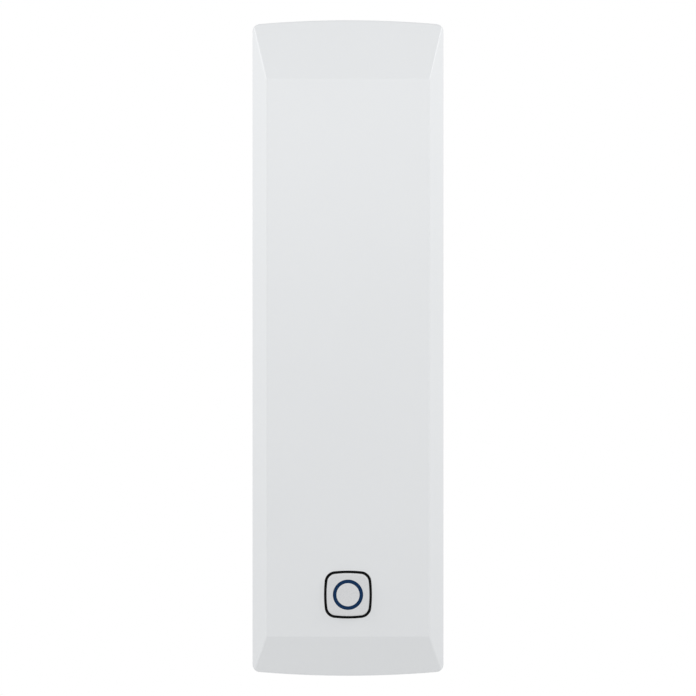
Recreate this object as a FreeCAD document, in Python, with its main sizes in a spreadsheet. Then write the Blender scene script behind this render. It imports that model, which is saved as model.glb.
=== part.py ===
import FreeCAD, Part
import math
import os
from types import SimpleNamespace

import Sketcher
from FreeCAD import Placement, Rotation, Vector

# A slim battery-powered wireless entry unit: a white moulded cover with one lit push button, the
# electronics and two AAA cells on a chassis inside it, and a wall plate that it pushes on to.
#
# Row frame: X to the right, Z up, Y into the wall. The wall is the plane Y = 0, so a "depth" below
# is a distance in front of the wall, which is -Y. The origin is the centre of the wall face. Solids
# that only cut others reach 1 mm past what they cut.

SIZES = {
    # cover
    "body_length": 102.0,  # between the crowns of the bowed ends
    "body_depth": 17.0,  # wall to front face
    "wall_gap": 0.3,  # shadow gap between the cover's rear edge and the wall
    "end_bow": 0.7,  # rise of the bowed top and bottom edges
    "corner_round": 1.2,
    "side_bevel": 2.2,  # width of the bevel along each long side
    "top_slope": 9.3,
    "bottom_slope": 6.25,
    "bevel_drop": 3.0,  # how far every slope falls from the front face
    "edge_round": 0.35,
    "rim_round": 0.5,
    "shell_wall": 1.6,
    "rebate_wall": 1.0,  # the cover's wall behind the seal
    "fit_gap": 0.2,  # clearance between the cover and what stands inside it
    "pry_width": 9.0,  # notch in the lower rear edge, for the tool that pries the unit off
    "pry_depth": 1.2,
    "pry_past": 0.8,  # how far the notch runs on past the shell's wall
    # push button
    "button_height": 12.8,  # centre above the lower end
    "opening_side": 7.44,
    "opening_bow": 0.28,
    "opening_round": 1.7,
    "gasket_line": 0.34,  # width of rubber that shows round the button
    "gasket_flange": 1.4,
    "gasket_flange_thickness": 0.5,
    "gasket_recess": 0.25,
    "button_gap": 0.06,  # running clearance between cap and gasket
    "button_proud": 0.5,
    "button_travel": 0.5,
    "button_edge_round": 0.25,
    "flange_gap": 0.05,
    "flange_width": 1.05,
    "flange_thickness": 0.8,
    "ring_diameter": 4.7,
    "ring_width": 0.56,
    "ring_depth": 0.8,
    "ring_pegs": 4,
    "peg_radius": 0.24,
    "guide_side": 8.2,
    "guide_thickness": 0.8,
    "guide_boss_radius": 1.5,
    "guide_boss_height": 0.3,
    "press_gap": 0.02,  # between the guide's boss and the switch plunger
    # tact switch
    "switch_side": 4.5,
    "switch_body": 2.6,
    "switch_plate": 0.2,
    "plunger_radius": 1.2,
    "plunger_flange_radius": 1.6,
    "plunger_flange": 0.5,
    "plunger_gap": 0.1,
    "plunger_tip": 3.8,  # plunger tip above the board
    "switch_floor": 0.6,
    "dome_gap": 0.05,  # between the plunger, fully pressed, and the flattened dome
    "dome_thickness": 0.1,
    # circuit board
    "board_thickness": 1.0,
    "board_side_gap": 1.55,  # from the board to the shell's inner side
    "board_foot_width": 15.4,
    "board_top_gap": 2.7,  # below the battery bay
    "board_step_drop": 4.0,  # below the middle of the button
    "board_foot_drop": 9.0,
    "board_corner": 0.8,
    "board_screw_inset": 4.05,  # from the shell's inner side
    "board_screw_rise": 12.4,  # above the middle of the button
    "board_screw_radius": 0.9,
    "board_screw_head": 1.6,
    "board_screw_head_height": 1.0,
    "board_screw_bite": 4.6,
    "board_screw_tip_gap": 0.3,  # pilot hole left beyond the screw's end
    "board_post_radius": 2.1,
    "led_across": 8.0,
    "capacitor_height": 5.2,
    "shield_sheet": 0.2,
    "radio_across": -0.8,
    "radio_drop": 8.8,  # below the upper edge of the board
    "chip_rise": 8.8,  # above the middle of the button
    "crystal_across": -4.6,
    "capacitor_inset": 2.5,  # from the side edge of the board
    "capacitor_drop": 6.4,  # below the upper edge of the board
    "capacitor_radius": 2.0,
    # chassis
    "frame_rear": 2.4,
    "frame_thickness": 1.4,
    "bay_wall": 0.8,
    "bay_end_wall": 1.0,
    "bay_side_gap": 1.65,  # from the battery box to the shell, which sets the body's width
    "bay_top_gap": 8.0,  # from the upper end of the cover
    "seal_thickness": 0.8,
    "seal_width": 1.3,
    "seal_play": 0.05,
    "seal_clear": 0.1,  # round the screw ears
    "chassis_screw_low_rise": 5.8,  # above the lower end of the cover
    "chassis_screw_low_inset": 4.25,  # from the side of the cover
    "chassis_screw_high_drop": 4.5,
    "chassis_screw_high_inset": 5.35,
    "chassis_screw_radius": 1.0,
    "chassis_screw_head": 1.7,
    "chassis_screw_head_height": 1.1,
    "chassis_screw_bite": 6.0,
    "chassis_screw_tip_gap": 0.5,
    "cross_reach": 0.6,  # a cross recess's blades, as shares of the head's radius
    "cross_width": 0.12,
    "cross_depth": 0.3,
    "ear_radius": 2.5,
    "ear_thickness": 1.3,
    "boss_radius": 2.1,
    "boss_high_radius": 1.9,
    "screw_play": 0.15,
    "support_radius": 1.2,
    "support_across": 11.0,
    "support_low_rise": 1.8,  # above the lower edge of the board
    "support_high_drop": 2.2,
    # cells and their contacts
    "cell_radius": 5.25,
    "cell_length": 43.7,
    "nub_radius": 1.9,
    "nub_height": 0.8,
    "cell_play": 0.15,
    "cell_depth": 8.6,
    "spring_height": 3.0,
    "spring_wire": 0.35,
    "spring_turns": 3,
    "spring_wide": 3.4,
    "spring_narrow": 2.2,
    "contact_thickness": 0.4,
    "contact_dimple": 0.2,
    "contact_inset": 1.55,  # from the cell's side to the plate's
    "tab_width": 2.2,
    "tab_length": 4.2,
    # wall plate
    "plate_thickness": 2.2,
    "plate_gap": 0.25,
    "plate_coring": 1.0,  # depth of the pockets in the face on the wall
    "plate_rows": 6,
    "plate_rim": 1.6,
    "plate_rib": 1.2,
    "pad_recess": 0.3,
    "wall_screw_spacing": 60.0,
    "wall_hole_radius": 1.9,
    "wall_head_radius": 3.6,
    "stud_radius": 1.8,
    "stud_height": 4.2,
    "stud_slot": 0.7,
    "stud_play": 0.03,
    "stud_high_drop": 4.8,  # below the upper end of the cover
    "stud_low_rise": 5.4,  # above the middle of the button
    "stud_across": 16.4,
    "socket_wall": 0.9,
    "foam_width": 15.0,
    "foam_height": 7.0,
    "foam_gap": 0.15,
    "foam_rise": 23.5,  # above the floor of the battery bay
    # aerial
    "aerial_radius": 0.4,
    "aerial_inset": 0.8,  # from the shell's inner side
    "aerial_rise": 4.9,  # above the middle of the button
    "aerial_past_bay": 0.5,
}

# what stands on the board: width, height along Z and thickness of each kind
PACKAGES = {
    "led": (1.6, 3.2, 1.1),
    "shield": (10.4, 8.4, 1.7),
    "radio": (5.0, 5.0, 0.9),
    "processor": (5.0, 5.0, 0.85),
    "crystal": (2.5, 3.2, 0.8),
    "capacitor_foot": (4.3, 4.3, 0.8),
    "passive": (1.6, 0.8, 0.5),
}

# rows of small resistors and capacitors on the front of the board: where the first one is, across
# and above the middle of the button, the step to the next one, and how many
PASSIVE_ROWS = (
    ((-7.0, 9.6), (0.0, -1.5), 3),
    ((-9.6, 6.8), (0.0, -1.6), 2),
    ((-1.4, 14.0), (3.0, 0.0), 3),
    ((6.2, 8.0), (0.0, -1.6), 2),
    ((-9.0, 2.2), (0.0, -3.8), 2),
    ((9.0, 2.2), (0.0, -3.8), 2),
    ((-3.6, -6.2), (3.6, 0.0), 3),
    ((9.0, 17.6), (0.0, -1.4), 1),
)

doc = FreeCAD.newDocument("entry_unit")
sheet = doc.addObject("Spreadsheet::Sheet", "Sheet")


class Length:
    """A number together with the expression that ties it to the sheet's cells."""

    def __init__(self, text, number):
        self.text = text
        self.number = number

    def joined(self, sign, other, number, swapped=False):
        pair = (text_of(other), self.text) if swapped else (self.text, text_of(other))
        return Length(f"({pair[0]} {sign} {pair[1]})", number)

    def __float__(self):
        return float(self.number)

    def __add__(self, other):
        return self.joined("+", other, float(self) + float(other))

    def __radd__(self, other):
        return self.joined("+", other, float(other) + float(self), swapped=True)

    def __sub__(self, other):
        return self.joined("-", other, float(self) - float(other))

    def __rsub__(self, other):
        return self.joined("-", other, float(other) - float(self), swapped=True)

    def __mul__(self, other):
        return self.joined("*", other, float(self) * float(other))

    def __rmul__(self, other):
        return self.joined("*", other, float(other) * float(self), swapped=True)

    def __truediv__(self, other):
        return self.joined("/", other, float(self) / float(other))

    def __neg__(self):
        return Length(f"(0 - {self.text})", -self.number)


def text_of(value):
    return value.text if isinstance(value, Length) else repr(value)


def bind(item, **properties):
    """Ties properties to expressions. A double underscore in a name stands for a dot."""
    for name, value in properties.items():
        item.setExpression(name.replace("__", "."), text_of(value))


def fill_sheet():
    """Puts every size in the sheet, and gives them back as one object with a name for each."""
    for kind, measures in PACKAGES.items():
        for side, number in zip(("width", "height", "thickness"), measures):
            SIZES[f"{kind}_{side}"] = number
    for row, (alias, number) in enumerate(SIZES.items(), start=1):
        sheet.set(f"A{row}", alias)
        sheet.set(f"B{row}", str(number))
        sheet.setAlias(f"B{row}", alias)
    doc.recompute()
    return SimpleNamespace(**{a: Length(f"Sheet.{a}", n) for a, n in SIZES.items()})


mm = fill_sheet()

# places that several pieces share
front = mm.body_depth
inner_front = mm.body_depth - mm.shell_wall
half_length = mm.body_length / 2
button_level = mm.button_height - half_length
gasket_rear = inner_front - mm.gasket_flange_thickness
gasket_side = mm.opening_side - 2 * mm.gasket_line
cap_side = gasket_side - 2 * mm.button_gap
flange_front = gasket_rear - mm.flange_gap
flange_rear = flange_front - mm.flange_thickness
guide_rear = flange_rear - mm.guide_thickness
plunger_front = guide_rear - mm.guide_boss_height - mm.press_gap
board_front = plunger_front - mm.plunger_tip
board_rear = board_front - mm.board_thickness
frame_front = mm.frame_rear + mm.frame_thickness
ear_front = frame_front + mm.ear_thickness
ledge = frame_front + mm.seal_thickness
bay_top = half_length - mm.bay_top_gap
bay_length = mm.cell_length + mm.nub_height + mm.contact_thickness * 2 + mm.contact_dimple
bay_floor = bay_top - bay_length - mm.spring_height
cell_across = mm.cell_radius + mm.cell_play
bay_half_width = 2 * cell_across + mm.bay_wall
body_width = 2 * (bay_half_width + mm.bay_side_gap + mm.shell_wall)
contact_width = 2 * (mm.cell_radius - mm.contact_inset)
shell_inside = body_width / 2 - mm.shell_wall
board_half_width = shell_inside - mm.board_side_gap
board_top = bay_floor - mm.board_top_gap
board_bottom = button_level - mm.board_foot_drop
board_screw_level = button_level + mm.board_screw_rise
board_screw_across = 2 * (shell_inside - mm.board_screw_inset)


# --- document helpers ---------------------------------------------------------------------------


def new_body(name):
    return doc.addObject("PartDesign::Body", name)


def sketch_on(body, name, role, offset=0.0):
    sketch = body.newObject("Sketcher::SketchObject", name)
    plane = next(f for f in body.Origin.OriginFeatures if f.Role == role)
    sketch.AttachmentSupport = [(plane, "")]
    sketch.MapMode = "FlatFace"
    bind(sketch, AttachmentOffset__Base__z=offset)
    return sketch


def constrain(sketch, kind, *where, value):
    index = sketch.addConstraint(Sketcher.Constraint(kind, *where, float(value)))
    sketch.setExpression(f"Constraints[{index}]", text_of(value))


def fix_point(sketch, geometry, point, x, y):
    constrain(sketch, "DistanceX", -1, 1, geometry, point, value=x)
    constrain(sketch, "DistanceY", -1, 1, geometry, point, value=y)


def polygon(sketch, points):
    """A closed outline of straight lines through the points."""
    corners = [Vector(float(x), float(y), 0) for x, y in points]
    lines = [
        sketch.addGeometry(Part.LineSegment(a, b), False)
        for a, b in zip(corners, corners[1:] + corners[:1])
    ]
    for line, after in zip(lines, lines[1:] + lines[:1]):
        sketch.addConstraint(Sketcher.Constraint("Coincident", line, 2, after, 1))
    for line, (x, y) in zip(lines, points):
        fix_point(sketch, line, 1, x, y)


def rectangle(sketch, x, y):
    polygon(sketch, [(x[0], y[0]), (x[1], y[0]), (x[1], y[1]), (x[0], y[1])])


def bowed_outline(sketch, half_x, half_y, bow_x, bow_y, centre_y=0.0):
    """A rectangle whose sides bow outwards. half_x and half_y reach the crowns of the bows, and a
    bow of None is a straight side."""
    corner_x = half_x - bow_x if bow_x is not None else half_x
    corner_y = half_y - bow_y if bow_y is not None else half_y
    corners = [
        (corner_x, centre_y - corner_y),
        (corner_x, centre_y + corner_y),
        (-corner_x, centre_y + corner_y),
        (-corner_x, centre_y - corner_y),
    ]
    crowns = [
        (half_x, centre_y, bow_x, corner_y),
        (0.0, centre_y + half_y, bow_y, corner_x),
        (-half_x, centre_y, bow_x, corner_y),
        (0.0, centre_y - half_y, bow_y, corner_x),
    ]
    sides = []
    for (start, end), (crown_x, crown_y, bow, half_chord) in zip(
        zip(corners, corners[1:] + corners[:1]), crowns
    ):
        a = Vector(float(start[0]), float(start[1]), 0)
        b = Vector(float(end[0]), float(end[1]), 0)
        if bow is None:
            sides.append(sketch.addGeometry(Part.LineSegment(a, b), False))
            continue
        crown = Vector(float(crown_x), float(crown_y), 0)
        sides.append(sketch.addGeometry(Part.Arc(a, crown, b), False))
        radius = (half_chord * half_chord + bow * bow) / (2 * bow)
        constrain(sketch, "Radius", sides[-1], value=radius)
    for side, after in zip(sides, sides[1:] + sides[:1]):
        sketch.addConstraint(Sketcher.Constraint("Coincident", side, 2, after, 1))
    for side, (x, y) in zip(sides, corners):
        fix_point(sketch, side, 1, x, y)


def pad(body, sketch, length):
    feature = body.newObject("PartDesign::Pad", sketch.Name + "_pad")
    feature.Profile = sketch
    bind(feature, Length=length)
    doc.recompute()


def pocket_through(body, sketch):
    """Cuts the sketch out of the whole body, both ways from its plane."""
    feature = body.newObject("PartDesign::Pocket", sketch.Name + "_pocket")
    feature.Profile = sketch
    feature.Type = "ThroughAll"
    feature.Midplane = True
    doc.recompute()


def round_edges(body, name, radius, choose):
    """Rounds the edges of the body's tip that choose accepts."""
    tip = body.Tip
    chosen = [f"Edge{i}" for i, e in enumerate(tip.Shape.Edges, start=1) if choose(e)]
    feature = body.newObject("PartDesign::Fillet", name)
    feature.Base = (tip, chosen)
    bind(feature, Radius=radius)
    doc.recompute()


def runs_in_depth(edge):
    """True for a straight edge square to the wall."""
    if not isinstance(edge.Curve, Part.Line):
        return False
    return abs(edge.Curve.Direction.y) > 0.999


def block(name, x, depth, z):
    """A box between two X values, two depths (rear, front) and two Z values."""
    item = doc.addObject("Part::Box", name)
    bind(item, Length=x[1] - x[0], Width=depth[1] - depth[0], Height=z[1] - z[0])
    bind(item, Placement__Base__x=x[0], Placement__Base__y=-depth[1], Placement__Base__z=z[0])
    return item


def rod(name, x, z, radius, depth, front_radius=None):
    """A round rod, or a cone where front_radius is given, square to the wall."""
    item = doc.addObject("Part::Cylinder" if front_radius is None else "Part::Cone", name)
    item.Placement = Placement(Vector(), Rotation(Vector(1, 0, 0), 90))
    if front_radius is None:
        bind(item, Radius=radius)
    else:
        bind(item, Radius1=radius, Radius2=front_radius)
    bind(item, Height=depth[1] - depth[0])
    bind(item, Placement__Base__x=x, Placement__Base__y=-depth[0], Placement__Base__z=z)
    return item


def upright_rod(name, x, depth, radius, z):
    item = doc.addObject("Part::Cylinder", name)
    bind(item, Radius=radius, Height=z[1] - z[0])
    bind(item, Placement__Base__x=x, Placement__Base__y=-depth, Placement__Base__z=z[0])
    return item


def fuse(name, *items):
    item = doc.addObject("Part::MultiFuse", name)
    item.Shapes = list(items)
    item.Refine = True
    return item


def common(name, *items):
    item = doc.addObject("Part::MultiCommon", name)
    item.Shapes = list(items)
    return item


def cut(name, base, *tools):
    item = doc.addObject("Part::Cut", name)
    item.Base = base
    item.Tool = tools[0] if len(tools) == 1 else fuse(name + "_tools", *tools)
    return item


def group(name, *items):
    """Separate solids that share one node."""
    item = doc.addObject("Part::Compound", name)
    item.Links = list(items)
    return item


def squircle(name, side, depth, corner):
    """A prism with the button's outline: a square with bowed sides and round corners."""
    body = new_body(name)
    sketch = sketch_on(body, name + "_outline", "XZ_Plane", depth[0])
    bowed_outline(sketch, side / 2, side / 2, mm.opening_bow, mm.opening_bow, button_level)
    pad(body, sketch, depth[1] - depth[0])
    round_edges(body, name + "_corners", corner, runs_in_depth)
    return body


def mirrored_pair(across):
    return ((-1, -across / 2), (1, across / 2))


finished = {}


def finish(node, item):
    item.Label = node
    finished[node] = item


# --- cover --------------------------------------------------------------------------------------


def bevel_tangent(fall, run):
    """Tangent of half the angle between a slope and the front face, which offsets their crease."""
    angle = math.atan2(float(fall), float(run)) / 2
    return Length(f"tan(atan({fall.text} / {run.text}) / 2)", math.tan(angle))


def housing_form(name, inset, rear):
    """The cover's outer form, moved inwards by inset, from the rear depth to the front face."""
    half_x = body_width / 2 - inset
    half_z = half_length - inset
    face = front - inset
    body = new_body(name)
    outline = sketch_on(body, name + "_outline", "XZ_Plane", rear)
    bowed_outline(outline, half_x, half_z, None, mm.end_bow)
    pad(body, outline, face - rear)
    corner = mm.corner_round - inset
    if float(corner) > 0:
        round_edges(body, name + "_corners", corner, runs_in_depth)

    crease_x = body_width / 2 - mm.side_bevel
    crease_x = crease_x - inset * bevel_tangent(mm.bevel_drop, mm.side_bevel)
    side_fall = (half_x - crease_x) * mm.bevel_drop / mm.side_bevel
    sides = sketch_on(body, name + "_side_bevels", "XY_Plane")
    polygon(sides, [(crease_x, -face), (half_x, -face), (half_x, side_fall - face)])
    polygon(sides, [(-crease_x, -face), (-half_x, -face), (-half_x, side_fall - face)])
    pocket_through(body, sides)

    ends = sketch_on(body, name + "_end_slopes", "YZ_Plane")
    for sign, slope in ((1, mm.top_slope), (-1, mm.bottom_slope)):
        crease_z = half_length - slope - inset * bevel_tangent(mm.bevel_drop, slope)
        fall = (half_z - crease_z) * mm.bevel_drop / slope
        polygon(
            ends,
            [(-face, sign * crease_z), (-face, sign * half_z), (fall - face, sign * half_z)],
        )
    pocket_through(body, ends)
    return body


def is_front_crease(edge):
    """True for the edges round the flat front and the mitres that run down from its corners."""
    return any(abs(v.Point.y + float(front)) < 1e-4 for v in edge.Vertexes)


def is_rim(edge):
    """True for the edges where the slopes meet the sides. The rounded corners bring some of these
    edges a little further forward than the rest."""
    depths = [-v.Point.y for v in edge.Vertexes]
    rim = float(front) - float(mm.bevel_drop)
    return len(depths) == 2 and rim - 0.01 < min(depths) and max(depths) < rim + float(mm.rim_round)


def slab(name, inset, depth):
    """A straight-sided prism with the cover's outline, moved inwards by inset."""
    body = new_body(name)
    outline = sketch_on(body, name + "_outline", "XZ_Plane", depth[0])
    bowed_outline(outline, body_width / 2 - inset, half_length - inset, None, mm.end_bow)
    pad(body, outline, depth[1] - depth[0])
    corner = mm.corner_round - inset
    if float(corner) > 0:
        round_edges(body, name + "_corners", corner, runs_in_depth)
    return body


def chassis_screw_places():
    low_across = body_width - 2 * mm.chassis_screw_low_inset
    high_across = body_width - 2 * mm.chassis_screw_high_inset
    for sign, x in mirrored_pair(low_across):
        yield x, mm.chassis_screw_low_rise - half_length, mm.boss_radius
    for sign, x in mirrored_pair(high_across):
        yield x, half_length - mm.chassis_screw_high_drop, mm.boss_high_radius


def make_cover():
    outer = housing_form("cover_outer", 0.0, mm.wall_gap)
    round_edges(outer, "front_creases", mm.edge_round, is_front_crease)
    round_edges(outer, "front_rim", mm.rim_round, is_rim)
    inner = housing_form("cover_inner", mm.shell_wall, frame_front)
    rebate = slab("cover_rebate", mm.rebate_wall, (mm.wall_gap / 2, ledge))
    shell = cut("cover_shell", outer, inner, rebate)

    limit = housing_form("cover_boss_limit", mm.shell_wall / 2, ledge)
    bosses = []
    holes = []
    for i, (x, z, radius) in enumerate(chassis_screw_places()):
        bosses.append(rod(f"cover_boss_{i}", x, z, radius, (ear_front, front)))
        depth = (ear_front - 1, ear_front + mm.chassis_screw_bite)
        holes.append(rod(f"cover_boss_hole_{i}", x, z, mm.chassis_screw_radius, depth))
    for i, (sign, x) in enumerate(mirrored_pair(board_screw_across)):
        z = board_screw_level
        bosses.append(rod(f"board_post_{i}", x, z, mm.board_post_radius, (board_front, front)))
        depth = (board_front - 1, board_front + mm.board_screw_bite - mm.board_thickness)
        holes.append(rod(f"board_post_hole_{i}", x, z, mm.board_screw_radius, depth))
    trimmed = common("cover_bosses", fuse("cover_boss_rods", *bosses), limit)
    solid = fuse("cover_solid", shell, trimmed)

    opening = squircle(
        "button_opening", mm.opening_side, (inner_front - 1, front + 1), mm.opening_round
    )
    notch = block(
        "pry_notch",
        (-mm.pry_width / 2, mm.pry_width / 2),
        (0.0, mm.wall_gap + mm.pry_depth),
        (-half_length - 1, mm.shell_wall + mm.pry_past - half_length),
    )
    finish("front_cover", cut("cover", solid, opening, notch, *holes))


# --- push button --------------------------------------------------------------------------------


def make_button():
    gasket_corner = mm.opening_round - mm.gasket_line
    sleeve = squircle(
        "gasket_sleeve",
        mm.opening_side,
        (gasket_rear, front - mm.gasket_recess),
        mm.opening_round,
    )
    flange = squircle(
        "gasket_flange",
        mm.opening_side + 2 * mm.gasket_flange,
        (gasket_rear, inner_front),
        mm.opening_round + mm.gasket_flange,
    )
    bore = squircle("gasket_bore", gasket_side, (gasket_rear - 1, front + 1), gasket_corner)
    finish("button_gasket", cut("gasket", fuse("gasket_solid", sleeve, flange), bore))

    cap_front = front + mm.button_proud
    stem = squircle(
        "cap_stem", cap_side, (flange_rear, cap_front), gasket_corner - mm.button_gap
    )
    round_edges(
        stem,
        "cap_face_round",
        mm.button_edge_round,
        lambda e: all(abs(v.Point.y + float(cap_front)) < 1e-4 for v in e.Vertexes),
    )
    cap_flange = squircle(
        "cap_flange", cap_side + 2 * mm.flange_width, (flange_rear, flange_front), mm.opening_round
    )
    outer_radius = mm.ring_diameter / 2
    inner_radius = outer_radius - mm.ring_width
    ring_rear = cap_front - mm.ring_depth

    def ring_form(name, end):
        wide = rod(name + "_outer", 0.0, button_level, outer_radius, (ring_rear, end))
        narrow = rod(name + "_inner", 0.0, button_level, inner_radius, (ring_rear - 1, end + 1))
        pegs = []
        for i in range(SIZES["ring_pegs"]):
            angle = math.radians(45 + 90 * i)
            reach = (outer_radius + inner_radius) / 2
            peg = rod(
                f"{name}_peg_{i}",
                reach * math.cos(angle),
                button_level + reach * math.sin(angle),
                mm.peg_radius,
                (flange_rear, ring_rear + mm.ring_depth / 2),
            )
            pegs.append(peg)
        return fuse(name, cut(name + "_band", wide, narrow), *pegs)

    finish("light_ring", ring_form("ring", cap_front))
    groove = ring_form("ring_groove", cap_front + 1)
    finish("button_cap", cut("cap", fuse("cap_solid", stem, cap_flange), groove))

    plate = squircle(
        "guide_plate", mm.guide_side, (guide_rear, flange_rear), mm.opening_round
    )
    boss_depth = (guide_rear - mm.guide_boss_height, guide_rear)
    boss = rod("guide_boss", 0.0, button_level, mm.guide_boss_radius, boss_depth)
    finish("light_guide", fuse("guide", plate, boss))


# --- tact switch --------------------------------------------------------------------------------


def make_switch():
    half = mm.switch_side / 2
    z = (button_level - half, button_level + half)
    top = board_front + mm.switch_body
    body = block("switch_block", (-half, half), (board_front, top), z)
    well = rod(
        "switch_well",
        0.0,
        button_level,
        mm.plunger_flange_radius + mm.plunger_gap,
        (board_front + mm.switch_floor, top + 1),
    )
    finish("switch_base", cut("switch_housing", body, well))

    plate = block("switch_plate", (-half, half), (top, top + mm.switch_plate), z)
    ears = []
    for side, x in mirrored_pair(mm.switch_side):
        outer = x + side * mm.switch_plate
        span = (outer, x) if side < 0 else (x, outer)
        ears.append(
            block(
                f"switch_ear_{side + 1}",
                span,
                (board_front, top + mm.switch_plate),
                (button_level - half / 2, button_level + half / 2),
            )
        )
    bore = rod(
        "switch_bore",
        0.0,
        button_level,
        mm.plunger_radius + mm.plunger_gap,
        (top - 1, top + 1),
    )
    finish("switch_frame", cut("switch_cover", fuse("switch_sheet", plate, *ears), bore))

    flange_top = top - mm.plunger_gap
    stem_depth = (flange_top - mm.plunger_flange, plunger_front)
    stem = rod("plunger_stem", 0.0, button_level, mm.plunger_radius, stem_depth)
    collar = rod(
        "plunger_collar",
        0.0,
        button_level,
        mm.plunger_flange_radius,
        (flange_top - mm.plunger_flange, flange_top),
    )
    finish("switch_plunger", fuse("plunger", stem, collar))

    floor = board_front + mm.switch_floor
    crown = flange_top - mm.plunger_flange - mm.button_travel - mm.dome_gap
    dome_height = crown - floor
    dome_radius = mm.plunger_flange_radius

    def cap_of_sphere(name, height, radius):
        reach = (radius * radius + height * height) / (2 * height)
        ball = doc.addObject("Part::Sphere", name + "_ball")
        bind(ball, Radius=reach)
        centre = floor + height - reach
        bind(ball, Placement__Base__y=-centre, Placement__Base__z=button_level)
        column = rod(name + "_column", 0.0, button_level, radius, (floor, crown + 1))
        return common(name, ball, column)

    skin = cap_of_sphere("dome_outside", dome_height, dome_radius)
    hollow = cap_of_sphere(
        "dome_inside", dome_height - mm.dome_thickness, dome_radius - mm.dome_thickness
    )
    finish("switch_dome", cut("dome", skin, hollow))


# --- circuit board ------------------------------------------------------------------------------


def make_board():
    wide = board_half_width
    foot = mm.board_foot_width / 2
    step = button_level - mm.board_step_drop
    body = new_body("board")
    outline = sketch_on(body, "board_outline", "XZ_Plane", board_rear)
    polygon(
        outline,
        [
            (-foot, board_bottom),
            (foot, board_bottom),
            (foot, step),
            (wide, step),
            (wide, board_top),
            (-wide, board_top),
            (-wide, step),
            (-foot, step),
        ],
    )
    pad(body, outline, mm.board_thickness)
    holes = sketch_on(body, "board_holes", "XZ_Plane")
    for sign, x in mirrored_pair(board_screw_across):
        hole = holes.addGeometry(
            Part.Circle(
                Vector(float(x), float(board_screw_level), 0),
                Vector(0, 0, 1),
                float(mm.board_screw_radius),
            )
        )
        constrain(holes, "Radius", hole, value=mm.board_screw_radius + mm.screw_play)
        fix_point(holes, hole, 3, x, board_screw_level)
    pocket_through(body, holes)
    round_edges(
        body,
        "board_corners",
        mm.board_corner,
        lambda e: runs_in_depth(e) and abs(e.Vertexes[0].Point.x) > float(foot) + 0.01,
    )
    finish("circuit_board", body)

    screws = []
    for i, (sign, x) in enumerate(mirrored_pair(board_screw_across)):
        z = board_screw_level
        head_rear = board_rear - mm.board_screw_head_height
        head = rod(f"board_screw_head_{i}", x, z, mm.board_screw_head, (head_rear, board_rear))
        tip = board_front + mm.board_screw_bite - mm.board_thickness - mm.board_screw_tip_gap
        shank = rod(
            f"board_screw_shank_{i}",
            x,
            z,
            mm.board_screw_radius,
            (board_rear, tip),
        )
        cross = cross_slot(f"board_screw_cross_{i}", x, z, mm.board_screw_head, head_rear)
        screws.append(cut(f"board_screw_{i}", fuse(f"board_screw_solid_{i}", head, shank), *cross))
    finish("board_screws", group("board_screw_pair", *screws))


def cross_slot(name, x, z, head, rear):
    """The two blades of a cross recess in a screw head, seen from behind."""
    long, wide = head * mm.cross_reach, head * mm.cross_width
    deep = (rear - 1, rear + head * mm.cross_depth)
    return (
        block(name + "_a", (x - long, x + long), deep, (z - wide, z + wide)),
        block(name + "_b", (x - wide, x + wide), deep, (z - long, z + long)),
    )


def on_board(name, kind, x, z, thinner=0.0):
    """A box soldered to the front of the board. thinner takes that much off its sides and top."""
    width = getattr(mm, kind + "_width") - thinner * 2
    height = getattr(mm, kind + "_height") - thinner * 2
    top = board_front + getattr(mm, kind + "_thickness") - thinner
    return block(
        name,
        (x - width / 2, x + width / 2),
        (board_front, top),
        (z - height / 2, z + height / 2),
    )


def make_chips():
    middle = Length("0", 0.0)
    x, z = mm.radio_across, board_top - mm.radio_drop
    chip_level = button_level + mm.chip_rise
    can = on_board("can", "shield", x, z)
    room = on_board("can_room", "shield", x, z, thinner=mm.shield_sheet)
    finish("radio_shield", cut("shield", can, room))
    finish("radio_chip", on_board("radio", "radio", x, z))
    finish("processor_chip", on_board("processor", "processor", middle, chip_level))
    finish("crystal", on_board("timing", "crystal", mm.crystal_across, chip_level))


def make_leds():
    leds = [
        on_board(f"led_{i}", "led", x, button_level)
        for i, (sign, x) in enumerate(mirrored_pair(mm.led_across))
    ]
    finish("indicator_leds", group("led_pair", *leds))


def make_capacitors():
    cans = []
    z = board_top - mm.capacitor_drop
    across = 2 * (board_half_width - mm.capacitor_inset)
    for i, (sign, x) in enumerate(mirrored_pair(across)):
        foot = on_board(f"capacitor_foot_{i}", "capacitor_foot", x, z)
        depth = (board_front + mm.capacitor_foot_thickness / 2, board_front + mm.capacitor_height)
        barrel = rod(f"capacitor_can_{i}", x, z, mm.capacitor_radius, depth)
        cans.append(fuse(f"capacitor_{i}", foot, barrel))
    finish("storage_capacitors", group("capacitor_pair", *cans))


def make_passives():
    chips = []
    for (first_x, first_rise), (step_x, step_z), count in PASSIVE_ROWS:
        for i in range(count):
            x = first_x + i * step_x
            z = button_level + (first_rise + i * step_z)
            chips.append(on_board(f"passive_{len(chips)}", "passive", Length(repr(x), x), z))
    finish("board_passives", group("passives", *chips))


# --- chassis, cells and contacts ----------------------------------------------------------------


def stud_places():
    yield 0.0, half_length - mm.stud_high_drop
    for sign, x in mirrored_pair(mm.stud_across):
        yield x, button_level + mm.stud_low_rise


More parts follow.
